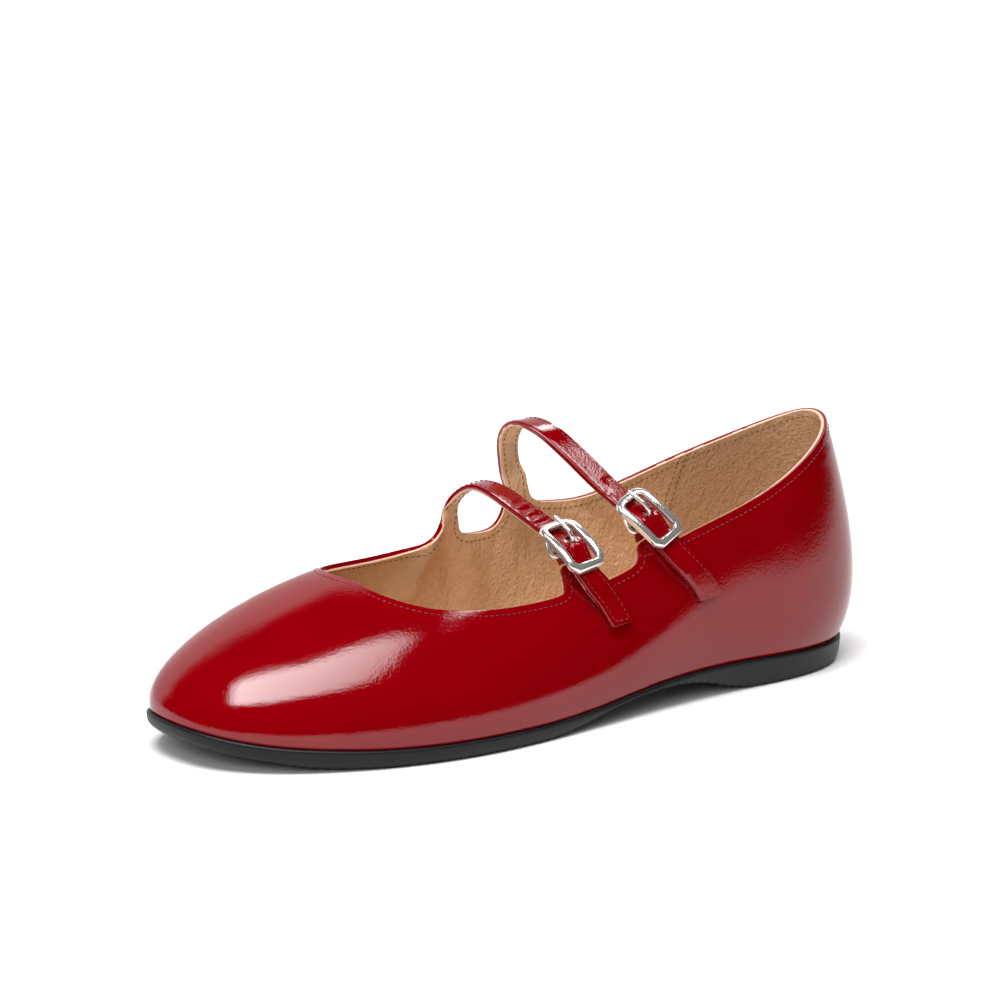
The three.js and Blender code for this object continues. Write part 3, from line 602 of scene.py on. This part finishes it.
def margin_line(line, margins, face_tree, skin_tree):
    """A line moved over the leather by its margins, in runs that keep clear of other edges."""
    count = len(line)
    near = KDTree(count)
    for k, point in enumerate(line):
        near.insert(point, k)
    near.balance()
    runs = [[]]
    for k, point in enumerate(line):
        along = (line[(k + 1) % count] - line[k - 1]).normalized()
        inward = face_tree.find_nearest(point)[1].cross(along)
        tries = [point + inward * margins[k] * way for way in (1, -1)]
        best = min(tries, key=lambda place: face_tree.find_nearest(place)[3])
        landed = skin_tree.find_nearest(best)[0]
        if near.find(landed)[2] < CLEAR_SHARE * margins[k]:
            runs.append([])
            continue
        if runs[-1] and (landed - runs[-1][-1]).length > RUN_GAP:
            runs.append([])
        runs[-1].append(landed)
    return [run for run in runs if len(run) >= RUN_LEAST]


def sewn(name, runs, skin_tree, mat):
    """A row of stitches along each run, all copies of one."""
    size = sizes()
    deselect()
    bpy.ops.mesh.primitive_uv_sphere_add(
        segments=8, ring_count=5, radius=1, rotation=(0, math.pi / 2, 0)
    )
    bpy.ops.object.transform_apply(location=False, rotation=True)
    bpy.context.object.scale = (size.stitch / 2, size.thread / 2, size.thread * 0.42)
    bpy.ops.object.transform_apply(location=False, rotation=False)
    one = bpy.context.object
    made = []
    for run in runs:
        places = evened(run, size.stitch_pitch, closed=False)
        for a, b in zip(places, places[1:]):
            spot, normal, _, _ = skin_tree.find_nearest((a + b) / 2)
            along = (b - a).normalized()
            side = normal.cross(along).normalized()
            along = side.cross(normal)
            turn = Matrix((along, side, normal)).transposed().to_4x4()
            data = one.data.copy()
            data.transform(Matrix.Translation(spot + normal * size.thread * 0.1) @ turn)
            copy = bpy.data.objects.new(name, data)
            bpy.context.scene.collection.objects.link(copy)
            made.append(copy)
    bpy.data.objects.remove(one)
    if not made:
        raise RuntimeError("no stitches for " + name)
    row = joined(*made)
    named(row, name)
    bpy.ops.object.shade_smooth()
    row.data.materials.append(mat)
    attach(row, "root")


def creased(points, normals, inner, strap_parts):
    """Moves points along their normals by the straps' creases and the lining's folds."""
    shift = numpy.zeros(len(points))
    for which, rows in STRAP_CREASES.items():
        origin, along, across, _ = BUCKLES[which]
        local = points * 1000 - numpy.array(origin)
        a, c = local @ numpy.array(along), local @ numpy.array(across)
        near = strap_parts[which] & (inner < 0.4) & (abs(c) < 6)
        edge = numpy.clip((STRAP_HALF - abs(c)) / 0.8, 0, 1)
        for middle, aside, turn, reach, wide, height in rows:
            angle = math.radians(turn)
            over = (a - middle) * math.cos(angle) + (c - aside) * math.sin(angle)
            beside = (c - aside) * math.cos(angle) - (a - middle) * math.sin(angle)
            bell = numpy.exp(-((over / wide) ** 2) - (beside / reach) ** 4)
            shift += numpy.where(near, bell * edge * height * MM, 0)
    lined = (inner > 0.8) & (points[:, 0] < -0.012)
    for y0, z0, y1, z1, wide, height in LINING_FOLDS:
        start, run = numpy.array((y0, z0)), numpy.array((y1 - y0, z1 - z0))
        length = math.hypot(*run)
        run = run / length
        local = points[:, 1:3] * 1000 - start
        along, over = local @ run, local @ numpy.array((-run[1], run[0]))
        ends = 1 / (1 + numpy.exp(-(along + 1) / 1.6)) / (1 + numpy.exp((along - length) / 2.2))
        shift += numpy.where(lined, numpy.exp(-((over / wide) ** 2)) * ends * height * MM, 0)
    return points + normals * shift[:, None]


def open_facing_ends(part, others):
    """Takes away the faces of a part that look at a neighbour close by, at the strap roots."""

    def meets(face):
        if face.center.x > ROOT_X or face.center.z < ROOT_Z:
            return False
        for tree in others:
            spot = tree.find_nearest(face.center, 0.0012)[0]
            if spot is not None and (spot - face.center).normalized().dot(face.normal) > 0.8:
                return True
        return False

    if not select_faces(part, meets):
        raise RuntimeError("no facing ends on " + part.name)
    bpy.ops.mesh.delete(type="FACE")
    bpy.ops.object.mode_set(mode="OBJECT")


def strap_and_upper(parts, trees):
    """The upper and both straps as one closed skin."""
    for i, part in enumerate(parts):
        open_facing_ends(part, trees[1:] if i == 0 else trees[:1])
    upper = joined(*parts)
    named(upper, "Upper_leather")
    for low, high in ((-0.06, ROOT_SPLIT), (ROOT_SPLIT, 0.06)):

        def open_end(edge):
            y = (edge.verts[0].co.y + edge.verts[1].co.y) / 2
            return len(edge.link_faces) == 1 and low < y < high

        found = select_edges(upper, open_end)
        if found < 20:
            raise RuntimeError("a strap has no open end to join: %d" % found)
        bpy.ops.mesh.bridge_edge_loops()
        bpy.ops.object.mode_set(mode="OBJECT")
    make_quads(upper, 50, 50)
    if select_edges(upper, lambda e: len(e.link_faces) != 2):
        raise RuntimeError("the upper is open where a strap joins it")
    bpy.ops.object.mode_set(mode="OBJECT")
    return upper


def label_sides(upper, trees):
    """Gives each face the slot of the patent side, of the lining or of the edge between them."""
    mesh = bmesh.new()
    mesh.from_mesh(upper.data)
    for face in mesh.faces:
        face.material_index = EDGE
    heel = max(mesh.faces, key=lambda f: f.calc_center_median().y)
    inside = Vector(INSIDE)
    facing = [f for f in mesh.faces if f.normal.y < -0.6]
    lining = min(facing, key=lambda f: (f.calc_center_median() - inside).length)
    straps = {
        face.index for face in mesh.faces
        if any(tree.find_nearest(face.calc_center_median(), 0.0002)[0] for tree in trees[1:])
    }
    spread_label(mesh, heel.index, PATENT)
    spread_label(mesh, lining.index, LINING)
    for face in mesh.faces:
        centre = face.calc_center_median()
        longest = max(edge.calc_length() for edge in face.edges)
        gaps = [tree.find_nearest(centre)[3] for tree in trees]
        at_root = centre.x < ROOT_X and centre.z > ROOT_Z
        bridge = at_root and max(gaps[0], min(gaps[1:])) < BRIDGE_GAP
        broad = face.index in straps and face.calc_area() / longest > BROAD
        if face.material_index != EDGE or not (bridge or broad):
            continue
        core = Vector((0, min(max(centre.y, CORE_ENDS[0]), CORE_ENDS[1]), CORE_HEIGHT))
        outward = face.normal.dot((centre - core).normalized())
        if abs(outward) > 0.6:
            spread_label(mesh, face.index, PATENT if outward > 0 else LINING)
    mesh.to_mesh(upper.data)
    mesh.free()


def read_vectors(data, key):
    """A value of every vertex as an array with three columns."""
    values = numpy.empty(len(data.vertices) * 3)
    data.vertices.foreach_get(key, values)
    return values.reshape(-1, 3)


def crease_and_cover(upper, sides, trees):
    """Creases the skin and gives each of its faces the leather it shows."""
    data = upper.data
    points, normals = read_vectors(data, "co"), read_vectors(data, "normal")
    inner = numpy.empty(len(points))
    for k, point in enumerate(points):
        gaps = [side.find_nearest(Vector(point))[3] for side in sides]
        inner[k] = gaps[0] / (gaps[0] + gaps[1])
    strap_parts = {
        which: numpy.array([tree.find_nearest(Vector(p), 0.0015)[0] is not None for p in points])
        for which, tree in (("front", trees[1]), ("rear", trees[2]))
    }
    data.vertices.foreach_set("co", creased(points, normals, inner, strap_parts).ravel())
    data.update()
    for face in data.polygons:
        share = sum(inner[v] for v in face.vertices) / len(face.vertices)
        if face.material_index == LINING and share > LINING_SHARE:
            continue
        rest = EDGE if share < EDGE_SHARE else LINING
        face.material_index = PATENT if share < PATENT_SHARE else rest


def edge_runs(lines, side, skin, trees):
    """Lines of stitches beside the top edge, closer to it on the straps."""
    size = sizes()
    runs = []
    for line in lines:
        line = softened(evened(line, LINE_STEP), 3)
        count = len(line)
        if max(p.z for p in line) < 0.03 or count < 80:
            continue
        strap = [
            1.0 if any(tree.find_nearest(p, 0.0008)[0] for tree in trees[1:]) else 0.0 for p in line
        ]
        for _ in range(24):
            strap = [(strap[k - 1] + strap[k] + strap[(k + 1) % count]) / 3 for k in range(count)]
        margins = [size.top_margin + (size.strap_margin - size.top_margin) * part for part in strap]
        runs += margin_line(line, margins, side, skin)
    return runs


def seam_runs(side, skin):
    """The two lines of stitches along the seam of the heel lining, on the inner side."""
    runs = []
    for aside in (-SEAM_ASIDE, SEAM_ASIDE):
        heights = [SEAM_TOP - SEAM_STEP * k for k in range(40)]
        guesses = [
            Vector((INNER_WALL, HEEL_SEAM[0] + HEEL_SEAM[1] * z + aside, z)) for z in heights
        ]
        runs.append([skin.find_nearest(side.find_nearest(guess)[0])[0] for guess in guesses])
    return runs


class SHOE_OT_upper(bpy.types.Operator):
    """Join the straps to the upper, round the edges, crease it and sew it"""

    bl_idname = "shoe.upper"
    bl_label = "Upper and straps"

    def execute(self, context):
        parts = [node_copy(node, "work_" + node) for node in ("upper", "front_strap", "rear_strap")]
        trees = [tree_of(part) for part in parts]
        upper = strap_and_upper(parts, trees)
        label_sides(upper, trees)
        for make in (patent_leather, lining_leather, cut_edge):
            upper.data.materials.append(make(look()))
        sides = [labelled_faces(upper, label) for label in (PATENT, LINING)]
        borders = [border_lines(upper, label) for label in (PATENT, LINING)]

        def rim(edge):
            labels = {face.material_index for face in edge.link_faces}
            return len(labels) == 2 and edge.verts[0].co.z > 0.02

        select_edges(upper, rim)
        bpy.ops.mesh.bevel(
            offset=sizes().edge_round, segments=2, affect="EDGES", clamp_overlap=True
        )
        bpy.ops.object.mode_set(mode="OBJECT")
        keep_sharp(upper, 1.0, SOLE_JOINT)
        subdivided(upper, 2)
        crease_and_cover(upper, sides, trees)
        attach(upper, "root")
        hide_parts("upper", "front_strap", "rear_strap")

        skin = tree_of(upper)
        outer = edge_runs(borders[0], sides[0], skin, trees)
        lining = edge_runs(borders[1], sides[1], skin, trees) + seam_runs(sides[1], skin)
        sewn("Outer_stitches", outer, skin, thread("Red thread", look().red_thread))
        sewn("Lining_stitches", lining, skin, thread("Tan thread", look().tan_thread))
        return {"FINISHED"}


class SHOE_OT_sole(bpy.types.Operator):
    """Round the unit sole's edges and give it its rubber"""

    bl_idname = "shoe.sole"
    bl_label = "Sole"

    def execute(self, context):
        sole = node_copy("outsole", "Unit_sole")
        make_quads(sole, 40, 60)
        keep_sharp(sole, 0.9)
        subdivided(sole, 2)
        sole.data.materials.append(sole_rubber(look()))
        sole.data.materials.append(sole_rubber(look(), "Sole tread", True))
        for face in sole.data.polygons:
            face.material_index = 1 if face.normal.z < -0.6 and face.center.z < 0.012 else 0
        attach(sole, "root")
        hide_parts("outsole")
        return {"FINISHED"}


class SHOE_OT_sock(bpy.types.Operator):
    """The tan sock that lies inside the shoe"""

    bl_idname = "shoe.sock"
    bl_label = "Sock"

    def execute(self, context):
        sock = node_copy("insole", "Sock")
        make_quads(sock, 40, 60)
        keep_sharp(sock, 1.0)
        subdivided(sock, 2)
        sock.data.materials.append(lining_leather(look(), "Sock leather", 1.0))
        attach(sock, "root")
        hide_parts("insole")
        return {"FINISHED"}


# The buckles, made in millimetres along and across the strap and then set in their places

def set_in_place(obj, which, name):
    origin, along, across, _ = BUCKLES[which]
    turn = Matrix((along, across, Vector(along).cross(Vector(across)))).transposed().to_4x4()
    obj.data.transform(Matrix.Translation(Vector(origin) * MM) @ turn @ Matrix.Scale(MM, 4))
    named(obj, name)


def rod(points, radius):
    """A round rod through the points."""
    deselect()
    bpy.ops.curve.primitive_bezier_curve_add()
    curve = bpy.context.object
    spline = curve.data.splines[0]
    spline.bezier_points.add(len(points) - 2)
    for knot, point in zip(spline.bezier_points, points):
        knot.co = point
        knot.handle_left_type = knot.handle_right_type = "AUTO"
    curve.data.resolution_u = 6
    curve.data.bevel_depth = radius
    curve.data.bevel_resolution = 4
    curve.data.use_fill_caps = True
    bpy.ops.object.convert(target="MESH")
    return bpy.context.object


def buckle_frame(arch):
    """The flat frame: round at the end with the prong, cut corners at the other, and a window."""
    deselect()
    bpy.ops.mesh.primitive_plane_add(size=2, location=(0, 0, 0))
    piece = bpy.context.object
    piece.scale = (*FRAME_HALF, 1)
    bpy.ops.object.transform_apply(location=False, rotation=False, scale=True)
    for side, offset, segments in FRAME_CORNERS:
        bpy.ops.object.mode_set(mode="EDIT")
        bpy.ops.mesh.select_mode(type="VERT")
        bpy.ops.mesh.select_all(action="DESELECT")
        bpy.ops.object.mode_set(mode="OBJECT")
        for vert in piece.data.vertices:
            at_end = abs(vert.co.x * side - FRAME_HALF[0]) < 0.01
            vert.select = at_end and abs(abs(vert.co.y) - FRAME_HALF[1]) < 0.01
        bpy.ops.object.mode_set(mode="EDIT")
        bpy.ops.mesh.bevel(offset=offset, segments=segments, affect="VERTICES")
        bpy.ops.object.mode_set(mode="OBJECT")
    bpy.ops.object.mode_set(mode="EDIT")
    bpy.ops.mesh.select_mode(type="FACE")
    bpy.ops.mesh.select_all(action="SELECT")
    bpy.ops.mesh.inset(thickness=FRAME_BAR, depth=0, use_boundary=True)
    bpy.ops.mesh.delete(type="FACE")
    bpy.ops.mesh.select_all(action="SELECT")
    bpy.ops.mesh.extrude_region_move(
        TRANSFORM_OT_translate={"value": (0, 0, FRAME_HIGH - FRAME_LOW)}
    )
    bpy.ops.mesh.select_all(action="SELECT")
    bpy.ops.mesh.normals_make_consistent(inside=False)
    for along in FRAME_CUTS:
        bpy.ops.mesh.select_all(action="SELECT")
        bpy.ops.mesh.bisect(plane_co=(along, 0, 0), plane_no=(1, 0, 0))
    bpy.ops.object.mode_set(mode="OBJECT")
    half = (FRAME_HIGH - FRAME_LOW) / 2

    def lip(edge):
        level = abs(edge.verts[0].co.z - edge.verts[1].co.z) < 0.01
        return level and edge.calc_face_angle(0.0) > 1.2

    if select_edges(piece, lip) < 40:
        raise RuntimeError("the buckle frame has too few lips")
    bpy.ops.mesh.bevel(offset=FRAME_EDGE, segments=4, affect="EDGES")
    bpy.ops.object.mode_set(mode="OBJECT")
    for vert in piece.data.vertices:
        if vert.co.x < 0:
            thinned = 1 + FRAME_THINS * min(0, vert.co.x - FRAME_CUTS[0])
            vert.co.z = half + (vert.co.z - half) * thinned
        vert.co.z += FRAME_LOW - arch * vert.co.x ** 2
    return piece


class SHOE_OT_hardware(bpy.types.Operator):
    """Make the polished buckles with their bars and prongs, and cover the loops that hold them"""

    bl_idname = "shoe.hardware"
    bl_label = "Buckles"

    def execute(self, context):
        metal = polished_metal(look())
        leather = bpy.data.materials["Patent leather"]
        for which in ("front", "rear"):
            side = FRAME_HALF[1] - FRAME_BAR / 2
            arm = [(along, side, up) for along, up in SIDE_ARM[:-1]]
            path = arm + [(0.0, side - BAR_RADIUS, SIDE_ARM[-1][1])]
            path += [(along, -across, up) for along, across, up in reversed(path)]
            buckle = joined(buckle_frame(BUCKLES[which][3]), rod(path, BAR_RADIUS))
            activate(buckle)
            bpy.ops.object.shade_smooth_by_angle(angle=math.radians(45))
            set_in_place(buckle, which, which.capitalize() + "_buckle")
            deselect()
            bpy.ops.mesh.primitive_torus_add(
                major_radius=EYE_RADII[0], minor_radius=EYE_RADII[1],
                major_segments=24, minor_segments=10,
                location=(0, 0, SIDE_ARM[-1][1]), rotation=(math.pi / 2, 0, 0),
            )
            eye = context.object
            bpy.ops.object.transform_apply(location=True, rotation=True)
            prong = joined(rod([(along, 0, up) for along, up in PRONG], PRONG_RADIUS), eye)
            activate(prong)
            bpy.ops.object.shade_smooth_by_angle(angle=math.radians(50))
            set_in_place(prong, which, which.capitalize() + "_prong")
            loop = node_copy(which + "_buckle_loop", which.capitalize() + "_loop")
            select_edges(loop, lambda edge: edge.calc_face_angle(0.0) > math.radians(50))
            bpy.ops.mesh.bevel(offset=LOOP_EDGE, segments=2, affect="EDGES")
            bpy.ops.object.mode_set(mode="OBJECT")
            bpy.ops.object.shade_smooth_by_angle(angle=math.radians(35))
            for obj, kind, mat, slot in (
                (buckle, "_buckle", metal, "metal"),
                (prong, "_prong", metal, "metal"),
                (loop, "_buckle_loop", leather, "patent"),
            ):
                obj.data.materials.clear()
                obj.data.materials.append(mat)
                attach(obj, "root")
                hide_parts(which + kind)
        return {"FINISHED"}


def fade_along(data, near, far):
    """Makes an area light brighter at one end of its long side than at the other."""
    data.use_nodes = True
    nodes, links = data.node_tree.nodes, data.node_tree.links
    place = nodes.new("ShaderNodeNewGeometry")
    split = nodes.new("ShaderNodeSeparateXYZ")
    ramp = nodes.new("ShaderNodeMapRange")
    ramp.inputs["To Min"].default_value = near
    ramp.inputs["To Max"].default_value = far
    links.new(place.outputs["Parametric"], split.inputs["Vector"])
    links.new(split.outputs["X"], ramp.inputs["Value"])
    links.new(ramp.outputs["Result"], nodes["Emission"].inputs["Strength"])


class SHOE_OT_stage(bpy.types.Operator):
    """Set the floor, the soft lights and the camera"""

    bl_idname = "shoe.stage"
    bl_label = "Studio"

    def execute(self, context):
        deselect()
        bpy.ops.mesh.primitive_plane_add(size=FLOOR_SIZE, location=(0, 0, -FLOOR_DROP))
        floor = context.object
        floor.name = "Floor"
        mat, nodes, links, shader = new_material("Pale floor")
        shader.inputs["Base Color"].default_value = (0.86, 0.86, 0.86, 1)
        shader.inputs["Roughness"].default_value = 0.9
        shader.inputs["Specular IOR Level"].default_value = 0.0
        floor.data.materials.append(mat)
        scene = context.scene
        scene.view_settings.view_transform = "Standard"
        world = bpy.data.worlds.new("Studio")
        scene.world = world
        world.use_nodes = True
        world.node_tree.nodes["Background"].inputs["Color"].default_value = (1, 1, 1, 1)
        world.node_tree.nodes["Background"].inputs["Strength"].default_value = WORLD_LIGHT
        world.cycles_visibility.glossy = False
        for name, at, aim, size, spin, power in LIGHTS:
            data = bpy.data.lights.new(name, "AREA")
            data.shape = "RECTANGLE"
            data.size, data.size_y = size
            data.energy = power
            light = bpy.data.objects.new(name, data)
            scene.collection.objects.link(light)
            light.location = at
            away = (Vector(at) - Vector(aim)).normalized()
            wide = Vector(spin)
            wide = (wide - away * wide.dot(away)).normalized()
            light.matrix_world = Matrix.Translation(at) @ Matrix(
                (wide, away.cross(wide), away)
            ).transposed().to_4x4()
            light.visible_camera = False
            if name == "Softbox":
                fade_along(data, *SOFTBOX_ENDS)
            light.visible_glossy = name != "Fill"
        data = bpy.data.cameras.new("Camera")
        data.lens = CAMERA_LENS
        data.sensor_width = 36
        camera = bpy.data.objects.new("Camera", data)
        scene.collection.objects.link(camera)
        camera.location = CAMERA_AT
        facing = Vector(CAMERA_AIM) - Vector(CAMERA_AT)
        camera.rotation_euler = facing.to_track_quat("-Z", "Y").to_euler()
        scene.camera = camera
        return {"FINISHED"}


OPERATORS = (SHOE_OT_stage, SHOE_OT_upper, SHOE_OT_sole, SHOE_OT_sock, SHOE_OT_hardware)


class SHOE_PT_panel(bpy.types.Panel):
    bl_label = "Mary Jane"
    bl_idname = "SHOE_PT_panel"
    bl_space_type = "VIEW_3D"
    bl_region_type = "UI"
    bl_category = "Mary Jane"

    def draw(self, context):
        for operator in OPERATORS:
            self.layout.operator(operator.bl_idname)
        for group in (context.scene.shoe_look, context.scene.shoe_sizes):
            for key in group.bl_rna.properties.keys():
                if key not in {"rna_type", "name"}:
                    self.layout.prop(group, key)


CLASSES = (ShoeLook, ShoeSizes, *OPERATORS, SHOE_PT_panel)


def register():
    for cls in CLASSES:
        bpy.utils.register_class(cls)
    bpy.types.Scene.shoe_look = bpy.props.PointerProperty(type=ShoeLook)
    bpy.types.Scene.shoe_sizes = bpy.props.PointerProperty(type=ShoeSizes)


def unregister():
    del bpy.types.Scene.shoe_sizes
    del bpy.types.Scene.shoe_look
    for cls in reversed(CLASSES):
        bpy.utils.unregister_class(cls)


def main():
    register()
    bpy.ops.shoe.stage()
    bpy.ops.shoe.upper()
    bpy.ops.shoe.sole()
    bpy.ops.shoe.sock()
    bpy.ops.shoe.hardware()


if __name__ == "__main__":
    main()
